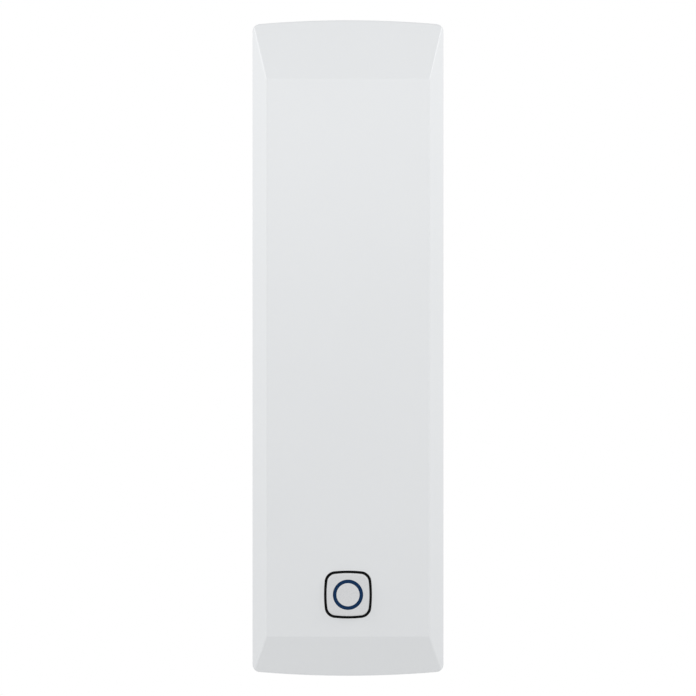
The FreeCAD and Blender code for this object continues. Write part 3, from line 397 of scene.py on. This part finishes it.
def batteryCell(name, upright):
    # A plain cell: printed film over a nickel-plated can, which is bare at the nub and at the flat
    # end. The film is glossy slate with one narrow pale band near the nub.
    film = cellFilm
    low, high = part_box(name)
    material, tree, shader, spot = startMaterial("printedFilm_" + name, {})
    along = addNode(tree, "ShaderNodeSeparateXYZ", {}, {0: spot}).outputs["Z"]
    if upright:
        ends = (low.z + film["foot"], high.z - film["shoulder"])
        band = (high.z - film["bandTo"], high.z - film["bandFrom"])
    else:
        ends = (low.z + film["shoulder"], high.z - film["foot"])
        band = (low.z + film["bandFrom"], low.z + film["bandTo"])
    isFilm = between(tree, along, ends[0], ends[1], 0.03 * mm)
    isBand = between(tree, along, band[0], band[1], 0.05 * mm)
    slate = blendColours(tree, noiseAt(tree, spot, 5 * mm, 2.0), "#47555f", "#4e5d67")
    printed = blendColours(tree, isBand, slate, "#c9ced0")
    scuffs = noiseAt(tree, spot, film["scuff"])
    can = blendColours(tree, scuffs, "#cdc9bf", "#bdb8ad")
    tree.links.new(blendColours(tree, isFilm, can, printed), shader.inputs["Base Color"])
    metal = addNode(tree, "ShaderNodeMath", {"operation": "SUBTRACT", 0: 1.0}, {1: isFilm}).outputs[0]
    tree.links.new(metal, shader.inputs["Metallic"])
    setGloss(tree, shader, scuffs, 0.24, 0.38)
    setBump(tree, shader, scuffs, film["scuffDepth"])
    dress(material, name)


batteryCell("battery_left", True)
batteryCell("battery_right", False)

canLook = {
    "foot": 0.85 * mm,  # the nylon's height above the board
    "top": 0.05 * mm,  # how deep the printed top reaches
    "markFrom": 0.9 * mm,  # of the half-moon's straight side, from the can's middle
    "grain": 0.25 * mm,
    "depth": 0.004 * mm,
}


def aluminiumCans():
    # Two bright drawn cans on black nylon feet. A black half-moon on each top marks one terminal.
    look = canLook
    low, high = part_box("storage_capacitors")
    across = high.x - (high.z - low.z) / 2
    material, tree, shader, spot = startMaterial("drawnAluminiumCan", {})
    parts = addNode(tree, "ShaderNodeSeparateXYZ", {}, {0: spot})
    isFoot = aboveLevel(tree, parts.outputs["Y"], boardFace - look["foot"], 0.02 * mm)
    underTop = aboveLevel(tree, parts.outputs["Y"], low.y + look["top"], 0.02 * mm)
    isTop = addNode(tree, "ShaderNodeMath", {"operation": "SUBTRACT", 0: 1.0}, {1: underTop}).outputs[0]
    sideways = addNode(tree, "ShaderNodeMath", {"operation": "ABSOLUTE"},
                       {0: parts.outputs["X"]}).outputs[0]
    isOuter = aboveLevel(tree, sideways, across + look["markFrom"], 0.03 * mm)
    isMark = addNode(tree, "ShaderNodeMath", {"operation": "MULTIPLY"}, {0: isTop, 1: isOuter}).outputs[0]
    grain = noiseAt(tree, spot, look["grain"])
    can = blendColours(tree, grain, "#d3d5d8", "#c4c7cb")
    marked = blendColours(tree, isMark, can, "#1c1d1f")
    tree.links.new(blendColours(tree, isFoot, marked, "#18181a"), shader.inputs["Base Color"])
    dark = addNode(tree, "ShaderNodeMath", {"operation": "MAXIMUM"}, {0: isFoot, 1: isMark}).outputs[0]
    metal = addNode(tree, "ShaderNodeMath", {"operation": "SUBTRACT", 0: 1.0}, {1: dark}).outputs[0]
    tree.links.new(metal, shader.inputs["Metallic"])
    setGloss(tree, shader, dark, 0.26, 0.5)
    setBump(tree, shader, grain, look["depth"])
    dress(material, "storage_capacitors")


lampLook = {
    "width": 1.6 * mm,  # of one lamp
    "windowAcross": 0.34,  # half the window's width, as a share of the lamp's width
    "windowUp": 0.36,  # and half its height, as a share of the lamp's height
    "sunk": 0.05 * mm,
    "grain": 0.2 * mm,
}


def lampHousing():
    # white nylon reflector with a yellowish epoxy window in its front
    look = lampLook
    low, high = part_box("indicator_leds")
    across = high.x - look["width"] / 2
    level = (low.z + high.z) / 2
    halfWidth = look["width"] * look["windowAcross"]
    halfHeight = (high.z - low.z) * look["windowUp"]
    material, tree, shader, spot = startMaterial("reflectorNylon", {"IOR": 1.52})
    parts = addNode(tree, "ShaderNodeSeparateXYZ", {}, {0: spot})
    sideways = addNode(tree, "ShaderNodeMath", {"operation": "ABSOLUTE"},
                       {0: parts.outputs["X"]}).outputs[0]
    inWidth = between(tree, sideways, across - halfWidth, across + halfWidth, 0.02 * mm)
    inHeight = between(tree, parts.outputs["Z"], level - halfHeight, level + halfHeight, 0.02 * mm)
    isWindow = addNode(tree, "ShaderNodeMath", {"operation": "MULTIPLY"},
                       {0: inWidth, 1: inHeight}).outputs[0]
    grain = noiseAt(tree, spot, look["grain"])
    nylon = blendColours(tree, grain, "#eceae3", "#e2e0d8")
    epoxy = blendColours(tree, grain, "#e6d88c", "#dccb78")
    tree.links.new(blendColours(tree, isWindow, nylon, epoxy), shader.inputs["Base Color"])
    setGloss(tree, shader, isWindow, 0.42, 0.15)
    setBump(tree, shader, isWindow, look["sunk"], inward=True)
    dress(material, "indicator_leds")


ceramicLook = {"speckle": 0.15 * mm, "patch": 3.5 * mm, "depth": 0.005 * mm}


def firedCeramic():
    # fired ceramic chips, some buff and some black, with a fine speckle
    look = ceramicLook
    material, tree, shader, spot = startMaterial("firedCeramic", {"IOR": 1.6})
    speckle = noiseAt(tree, spot, look["speckle"])
    areas = addNode(tree, "ShaderNodeTexVoronoi", {"Scale": 1 / look["patch"]},
                    {"Vector": spot}).outputs["Color"]
    kind = addNode(tree, "ShaderNodeSeparateColor", {}, {0: areas}).outputs[0]
    buff = blendColours(tree, speckle, "#93785b", "#7c654d")
    black = blendColours(tree, speckle, "#1b1b1d", "#262628")
    isBlack = aboveLevel(tree, kind, 0.5, 0.01)
    tree.links.new(blendColours(tree, isBlack, buff, black), shader.inputs["Base Color"])
    setGloss(tree, shader, speckle, 0.35, 0.55)
    setBump(tree, shader, speckle, look["depth"])
    dress(material, "board_passives")


aluminiumCans()
lampHousing()
firedCeramic()
print("board done")


def startFrom(addPrimitive, scale=None, **settings):
    # adds a primitive on its own, and leaves it in edit mode
    bpy.ops.object.select_all(action="DESELECT")
    addPrimitive(**settings)
    piece = bpy.context.object
    if scale:
        piece.scale = scale
    bpy.ops.object.transform_apply(location=False, rotation=True, scale=True)
    bpy.ops.object.mode_set(mode="EDIT")
    return piece


def pickFaces(test):
    # selects just the faces whose middle and normal pass the test
    mesh = bmesh.from_edit_mesh(bpy.context.object.data)
    bpy.ops.mesh.select_all(action="DESELECT")
    for face in mesh.faces:
        face.select_set(test(face.calc_center_median(), face.normal))
    bmesh.update_edit_mesh(bpy.context.object.data)


def extrudeBy(shift):
    bpy.ops.mesh.extrude_region_move(TRANSFORM_OT_translate={"value": shift})


def softenEdges(piece, width):
    bpy.ops.object.mode_set(mode="OBJECT")
    bevel = piece.modifiers.new("soften", "BEVEL")
    bevel.width = width
    bevel.segments = 2
    bevel.limit_method = "ANGLE"
    bevel.angle_limit = math.radians(25)
    bpy.ops.object.modifier_apply(modifier=bevel.name)


def repeatAt(master, places):
    # copies of master at each (x, z), turned about the depth axis, as one mesh
    bpy.ops.object.select_all(action="DESELECT")
    for x, z, turn in places:
        twin = master.copy()
        twin.data = master.data.copy()
        bpy.context.scene.collection.objects.link(twin)
        twin.rotation_euler = (0, turn, 0)
        twin.location = (x, master.location.y, z)
        twin.select_set(True)
        bpy.context.view_layer.objects.active = twin
    bpy.data.objects.remove(master)
    bpy.ops.object.join()
    return bpy.context.object


def fitPiece(piece, name, material):
    # its place goes into its mesh, and it rides with the unit
    bpy.ops.object.select_all(action="DESELECT")
    piece.select_set(True)
    bpy.context.view_layer.objects.active = piece
    bpy.ops.object.transform_apply(location=True, rotation=True, scale=True)
    bpy.ops.object.mode_set(mode="EDIT")
    bpy.ops.mesh.select_all(action="SELECT")
    bpy.ops.mesh.remove_doubles(threshold=0.001 * mm)
    bpy.ops.mesh.normals_make_consistent(inside=False)
    bpy.ops.object.mode_set(mode="OBJECT")
    bpy.ops.object.shade_smooth_by_angle(angle=math.radians(40))
    piece.name = name
    piece.data.materials.clear()
    piece.data.materials.append(material)
    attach(piece, "unit")


def endToEnd(across, level, up):
    # a place above and a place below the level on each side, the lower ones turned end for end
    return [(side * across, level + end * up, 0 if end > 0 else math.pi)
            for side in (-1, 1) for end in (-1, 1)]


# Tin solder that has frozen: bright, with a faint frosted skin.
solderTin = rolledMetal("frozenSolder", {
    "colour": "#c8cacb", "shade": "#b2b5b7", "roughness": 0.27,
    "stretch": (1, 1, 1), "marks": 0.2 * mm, "patches": 0.6 * mm, "depth": 0.008 * mm})
# Copper under immersion gold: a flat, pale gold.
goldFinish = rolledMetal("immersionGold", {
    "colour": "#dfb96a", "shade": "#cfa757", "roughness": 0.3,
    "stretch": (1, 1, 1), "marks": 0.15 * mm, "patches": 0.8 * mm, "depth": 0.003 * mm})
# Pressed paper washer: matt, with short fibres.
fishPaper = skinned("vulcanisedPaper", {
    "colour": "#d9d4c6", "shade": "#cbc5b4", "ior": 1.5, "roughness": 0.7,
    "flow": 0.8 * mm, "grain": 0.12 * mm, "depth": 0.01 * mm})

solderJoint = {
    "radius": 1.2 * mm,
    "foot": 0.15 * mm,
    "rises": ((0.2 * mm, 0.84), (0.16 * mm, 0.76), (0.12 * mm, 0.6), (0.06 * mm, 0.4)),
    "soft": 0.05 * mm,
    "tabs": 5.4 * mm,  # from the middle of the board
    "above": 0.25 * mm,  # of the tab's lower end
    "wire": 0.4 * mm,  # from the aerial's lowest line to its middle
    "wireShare": 0.75,  # of the size of a tab's joint
}


def solderMound(share):
    # a mound drawn up to a small peak, at a share of its full size
    joint = solderJoint
    mound = startFrom(bpy.ops.mesh.primitive_cylinder_add, vertices=32, radius=joint["radius"] * share,
                      depth=joint["foot"], rotation=(math.pi / 2, 0, 0),
                      location=(0, boardFace - joint["foot"] / 2, 0))
    pickFaces(lambda middle, normal: normal.y < -0.9)
    for rise, taper in joint["rises"]:
        extrudeBy((0, -rise, 0))
        bpy.ops.transform.resize(value=(taper, 1, taper), center_override=mound.location)
    softenEdges(mound, joint["soft"])
    return mound


def makeSolderJoints():
    # over the foot of each contact tab, and over the bared end of the aerial
    joint = solderJoint
    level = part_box("contact_negative")[0].z + joint["above"]
    tabJoints = repeatAt(solderMound(1.0), [(side * joint["tabs"], level, 0) for side in (-1, 1)])
    fitPiece(tabJoints, "tab_joints", solderTin)
    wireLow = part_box("antenna_wire")[0]
    aerialJoint = repeatAt(solderMound(joint["wireShare"]), [(wireLow.x, wireLow.z + joint["wire"], 0)])
    fitPiece(aerialJoint, "aerial_joint", solderTin)


passiveEnds = {
    "cap": 0.3 * mm,
    "proud": 0.02 * mm,
    "toe": 0.14 * mm,
    "toeHeight": 0.35,  # share of the cap's height
    "toeWidth": 0.9,
    "soft": 0.03 * mm,
}


def looseBoxes(node):
    # the (lowest, highest) corners of each separate solid in a CAD node
    mesh = bmesh.new()
    mesh.from_mesh(bpy.data.objects[node].data)
    bmesh.ops.remove_doubles(mesh, verts=mesh.verts, dist=0.001 * mm)
    left = set(mesh.verts)
    boxes = []
    while left:
        solid, edge = set(), {left.pop()}
        while edge:
            solid |= edge
            edge = {e.other_vert(v) for v in edge for e in v.link_edges} - solid
        left -= solid
        axes = list(zip(*[v.co for v in solid]))
        boxes.append((Vector([min(a) for a in axes]), Vector([max(a) for a in axes])))
    mesh.free()
    return sorted(boxes, key=lambda box: tuple(box[0]))


def makePassiveEnds():
    # a tinned cap over each end of every small ceramic chip, with a toe of solder running out of it
    ends = passiveEnds
    boxes = looseBoxes("board_passives")
    low, high = boxes[0]
    size = (ends["cap"], high.y - low.y + ends["proud"], high.z - low.z + 2 * ends["proud"])
    cap = startFrom(bpy.ops.mesh.primitive_cube_add, size, size=1, location=(0, boardFace - size[1] / 2, 0))
    pickFaces(lambda middle, normal: normal.x > 0.9)
    extrudeBy((ends["toe"], 0, 0))
    bpy.ops.transform.resize(value=(1, ends["toeHeight"], ends["toeWidth"]),
                             center_override=(0, boardFace, 0))
    softenEdges(cap, ends["soft"])
    places = []
    for low, high in boxes:
        middle = (low.x + high.x) / 2
        level = (low.z + high.z) / 2
        out = (high.x - low.x) / 2 - ends["cap"] / 2 + ends["proud"]
        places += [(middle + out, level, 0), (middle - out, level, math.pi)]
    fitPiece(repeatAt(cap, places), "passive_ends", solderTin)


switchLeg = {
    "size": (0.55 * mm, 0.15 * mm, 0.7 * mm),
    "out": 2.78 * mm,  # of the middle of the foot, from the middle of the switch
    "across": 1.55 * mm,
    "rise": 0.45 * mm,
    "leans": (0.06 * mm, 0.02 * mm),  # inwards, over each half of the rise
    "soft": 0.03 * mm,
}


def makeSwitchLegs():
    # gull-wing legs: a flat foot on the board, and a shank up to the switch's metal frame
    leg = switchLeg
    wing = startFrom(bpy.ops.mesh.primitive_cube_add, leg["size"], size=1,
                     location=(0, boardFace - leg["size"][1] / 2, 0))
    pickFaces(lambda middle, normal: normal.x < -0.9)
    for lean in leg["leans"]:
        extrudeBy((-lean, -leg["rise"] / 2, 0))
    softenEdges(wing, leg["soft"])
    places = [(side * leg["out"], buttonLevel + end * leg["across"], 0 if side > 0 else math.pi)
              for side in (-1, 1) for end in (-1, 1)]
    fitPiece(repeatAt(wing, places), "switch_legs", solderTin)


chipPads = {
    "size": (0.24 * mm, 0.05 * mm, 0.36 * mm),
    "pitch": 0.5 * mm,
    "perSide": 8,
    "rise": 0.12 * mm,
    "slant": 0.25,  # how far the rise leans on to the chip, as a share of the length
    "top": (0.8, 1, 0.4),  # share of the foot's size
    "under": 0.02 * mm,  # how far each fillet reaches under the chip's edge
    "soft": 0.02 * mm,
}


def makeChipPads(name, chip):
    # short solder fillets in a row along each side of a leadless chip
    pads = chipPads
    low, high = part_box(chip)
    length = pads["size"][2]
    fillet = startFrom(bpy.ops.mesh.primitive_cube_add, pads["size"], size=1,
                       location=(0, boardFace - pads["size"][1] / 2, 0))
    pickFaces(lambda middle, normal: normal.y < -0.9)
    extrudeBy((0, -pads["rise"], -length * pads["slant"]))
    bpy.ops.transform.resize(value=pads["top"], center_override=(0, 0, -length / 2))
    softenEdges(fillet, pads["soft"])
    middleX = (low.x + high.x) / 2
    middleZ = (low.z + high.z) / 2
    reach = (high.x - low.x) / 2 + length / 2 - pads["under"]
    places = []
    for turn in range(4):
        angle = turn * math.pi / 2
        for i in range(pads["perSide"]):
            along = (i - (pads["perSide"] - 1) / 2) * pads["pitch"]
            places.append((middleX + along * math.cos(angle) + reach * math.sin(angle),
                           middleZ - along * math.sin(angle) + reach * math.cos(angle), angle))
    fitPiece(repeatAt(fillet, places), name, solderTin)


lampEnds = {
    "size": (1.3 * mm, 0.3 * mm, 0.45 * mm),
    "across": 4.0 * mm,
    "out": 1.8 * mm,
    "rise": 0.18 * mm,
    "lean": 0.1 * mm,  # towards the lamp
    "top": (0.9, 1, 0.5),  # share of the foot's size
    "soft": 0.03 * mm,
}


def makeLampTerminals():
    # a tinned terminal at each end of the two small lamps, sloping down to the board
    ends = lampEnds
    block = startFrom(bpy.ops.mesh.primitive_cube_add, ends["size"], size=1,
                      location=(0, boardFace - ends["size"][1] / 2, 0))
    pickFaces(lambda middle, normal: normal.y < -0.9)
    extrudeBy((0, -ends["rise"], -ends["lean"]))
    bpy.ops.transform.resize(value=ends["top"], center_override=(0, 0, -ends["size"][2] / 2))
    softenEdges(block, ends["soft"])
    places = endToEnd(ends["across"], buttonLevel, ends["out"])
    fitPiece(repeatAt(block, places), "lamp_terminals", solderTin)


canTabs = {
    "size": (0.65 * mm, 0.14 * mm, 0.7 * mm),
    "out": 2.4 * mm,
    "toe": 0.12 * mm,
    "toeWidth": 0.6,  # share of the tab's width
    "soft": 0.03 * mm,
}


def makeCapacitorTabs():
    # the capacitors' flat tabs, each with a rounded toe
    tabs = canTabs
    low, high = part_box("storage_capacitors")
    across = (high.x - low.x) / 2 - (high.z - low.z) / 2
    toe = startFrom(bpy.ops.mesh.primitive_cube_add, tabs["size"], size=1,
                    location=(0, boardFace - tabs["size"][1] / 2, 0))
    pickFaces(lambda middle, normal: normal.z > 0.9)
    extrudeBy((0, 0, tabs["toe"]))
    bpy.ops.transform.resize(value=(tabs["toeWidth"], 1, 1), center_override=(0, boardFace, 0))
    softenEdges(toe, tabs["soft"])
    places = endToEnd(across, (low.z + high.z) / 2, tabs["out"])
    fitPiece(repeatAt(toe, places), "capacitor_tabs", solderTin)


washer = {"outer": 4.5 * mm, "inner": 2.15 * mm, "thickness": 0.25 * mm, "nub": 0.8 * mm,
          "soft": 0.04 * mm}


def makeCellWasher(name, cell, upward):
    # a paper washer on the shoulder round the cell's nub
    low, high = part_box(cell)
    fromEnd = washer["nub"] - washer["thickness"] / 2
    level = high.z - fromEnd if upward else low.z + fromEnd
    ring = startFrom(bpy.ops.mesh.primitive_cylinder_add, vertices=64, radius=washer["outer"],
                     depth=washer["thickness"],
                     location=((low.x + high.x) / 2, (low.y + high.y) / 2, level))
    pickFaces(lambda middle, normal: abs(normal.z) > 0.9)
    bpy.ops.mesh.inset(thickness=washer["outer"] - washer["inner"])
    bpy.ops.mesh.delete(type="FACE")
    bpy.ops.mesh.select_all(action="DESELECT")
    bpy.ops.mesh.select_mode(type="EDGE")
    bpy.ops.mesh.select_non_manifold()
    bpy.ops.mesh.bridge_edge_loops()
    bpy.ops.mesh.select_mode(type="FACE")
    softenEdges(ring, washer["soft"])
    fitPiece(ring, name, fishPaper)


testPoints = {
    "radius": 0.55 * mm,
    "height": 0.04 * mm,
    "dimpleInset": 0.55,  # share of the radius
    "dimpleDepth": 0.4,  # share of the height
    "columns": 3,
    "rows": 2,
    "pitch": 2.54 * mm,
    "above": 9.5 * mm,  # above the lower edge of the board
    "soft": 0.008 * mm,
}


def makeTestPoints():
    # gold pads on the board's rear face, each dimpled where the test pin lands
    points = testPoints
    pad = startFrom(bpy.ops.mesh.primitive_cylinder_add, vertices=32, radius=points["radius"],
                    depth=points["height"], rotation=(math.pi / 2, 0, 0),
                    location=(0, boardHigh.y + points["height"] / 2, 0))
    pickFaces(lambda middle, normal: normal.y > 0.9)
    bpy.ops.mesh.inset(thickness=points["radius"] * points["dimpleInset"])
    bpy.ops.transform.translate(value=(0, -points["height"] * points["dimpleDepth"], 0))
    softenEdges(pad, points["soft"])
    places = [((column - (points["columns"] - 1) / 2) * points["pitch"],
               boardLow.z + points["above"] + row * points["pitch"], 0)
              for column in range(points["columns"]) for row in range(points["rows"])]
    fitPiece(repeatAt(pad, places), "test_points", goldFinish)


makeSolderJoints()
makePassiveEnds()
makeSwitchLegs()
makeChipPads("processor_pads", "processor_chip")
makeChipPads("radio_pads", "radio_chip")
makeLampTerminals()
makeCapacitorTabs()
makeCellWasher("washer_left", "battery_left", True)
makeCellWasher("washer_right", "battery_right", False)
makeTestPoints()
print("small parts added")

studio = {
    "lens": 250,
    "sensor": 36,
    "frameHeight": 107.75 * mm,
    "nearest": 0.01,
    "farthest": 20,
    "floorDrop": 450 * mm,  # low enough that a camera under the object still stands above it
    "floorReach": 4.5,
    "floorGlow": 0.27,  # the floor is a light table
}


def placeCamera():
    low, high = cadBox
    camera = bpy.data.cameras.new("camera")
    camera.lens = studio["lens"]
    camera.sensor_width = studio["sensor"]
    camera.clip_start = studio["nearest"]
    camera.clip_end = studio["farthest"]
    holder = bpy.data.objects.new("camera", camera)
    bpy.context.scene.collection.objects.link(holder)
    distance = studio["frameHeight"] * studio["lens"] / studio["sensor"]
    holder.location = (0, low.y - distance, (low.z + high.z) / 2)
    holder.rotation_euler = (math.pi / 2, 0, 0)
    bpy.context.scene.camera = holder


def layFloor():
    bpy.ops.object.select_all(action="DESELECT")
    bpy.ops.mesh.primitive_plane_add(size=2 * studio["floorReach"], location=(0, 0, -studio["floorDrop"]))
    floor = bpy.context.object
    floor.name = "studioFloor"
    bpy.ops.object.transform_apply(location=True, rotation=False, scale=False)
    paper, tree, shader, spot = startMaterial(
        "litBackdrop", {"Roughness": 0.9, "Emission Strength": studio["floorGlow"],
                        "Emission Color": linear("#ffffff")})
    fibre = noiseAt(tree, spot, 3 * mm)
    tree.links.new(blendColours(tree, fibre, "#e6e6e6", "#e9e9e9"), shader.inputs["Base Color"])
    floor.data.materials.append(paper)


# metres and watts
softboxes = {
    "frontSoftbox": {"place": (0, -0.22, 0.06), "size": (0.12, 0.1), "power": 0.054,
                     "target": (0, 0, 0.01)},
    "leftSoftbox": {"place": (-0.2, -0.06, 0.12), "size": (0.08, 0.08), "power": 0.138,
                    "target": (0, 0, 0.03)},
    "rightSoftbox": {"place": (0.2, -0.06, 0.12), "size": (0.08, 0.08), "power": 0.133,
                     "target": (0, 0, 0.03)},
}


def hangSoftbox(name, place, size, power, target):
    light = bpy.data.lights.new(name, "AREA")
    light.shape = "RECTANGLE"
    light.size, light.size_y = size
    light.energy = power
    holder = bpy.data.objects.new(name, light)
    bpy.context.scene.collection.objects.link(holder)
    holder.location = place
    holder.rotation_euler = (Vector(target) - Vector(place)).to_track_quat("-Z", "Y").to_euler()


tent = {"horizon": 0.76, "overhead": 0.56, "underfoot": 0.34}


def lightTent():
    # The paper seen behind the object is white; what it sheds on the object is dimmer than that,
    # most near the horizon and least underfoot.
    world = bpy.data.worlds.new("lightTent")
    bpy.context.scene.world = world
    world.use_nodes = True
    tree = world.node_tree
    shed = tree.nodes["Background"]
    toward = addNode(tree, "ShaderNodeTexCoord").outputs["Generated"]
    height = addNode(tree, "ShaderNodeSeparateXYZ", {}, {0: toward}).outputs["Z"]
    ramp = addNode(tree, "ShaderNodeMapRange", {"From Min": -1.0, "From Max": 1.0}, {0: height})
    glow = addNode(tree, "ShaderNodeValToRGB", {}, {0: ramp.outputs[0]})
    line = glow.color_ramp
    line.elements.new(0.5)
    for element, at, value in zip(line.elements, (0.0, 0.5, 1.0),
                                  (tent["underfoot"], tent["horizon"], tent["overhead"])):
        element.position = at
        element.color = (value, value, value * 1.01, 1)
    tree.links.new(glow.outputs[0], shed.inputs["Color"])
    white = addNode(tree, "ShaderNodeBackground", {"Color": (1, 1, 1, 1), "Strength": 1.0})
    seen = addNode(tree, "ShaderNodeLightPath").outputs["Is Camera Ray"]
    either = addNode(tree, "ShaderNodeMixShader", {}, {0: seen, 1: shed.outputs[0], 2: white.outputs[0]})
    tree.links.new(either.outputs[0], tree.nodes["World Output"].inputs["Surface"])
    bpy.context.scene.view_settings.view_transform = "Standard"


placeCamera()
layFloor()
lightTent()
for boxName, box in softboxes.items():
    hangSoftbox(boxName, **box)
print("studio lit")
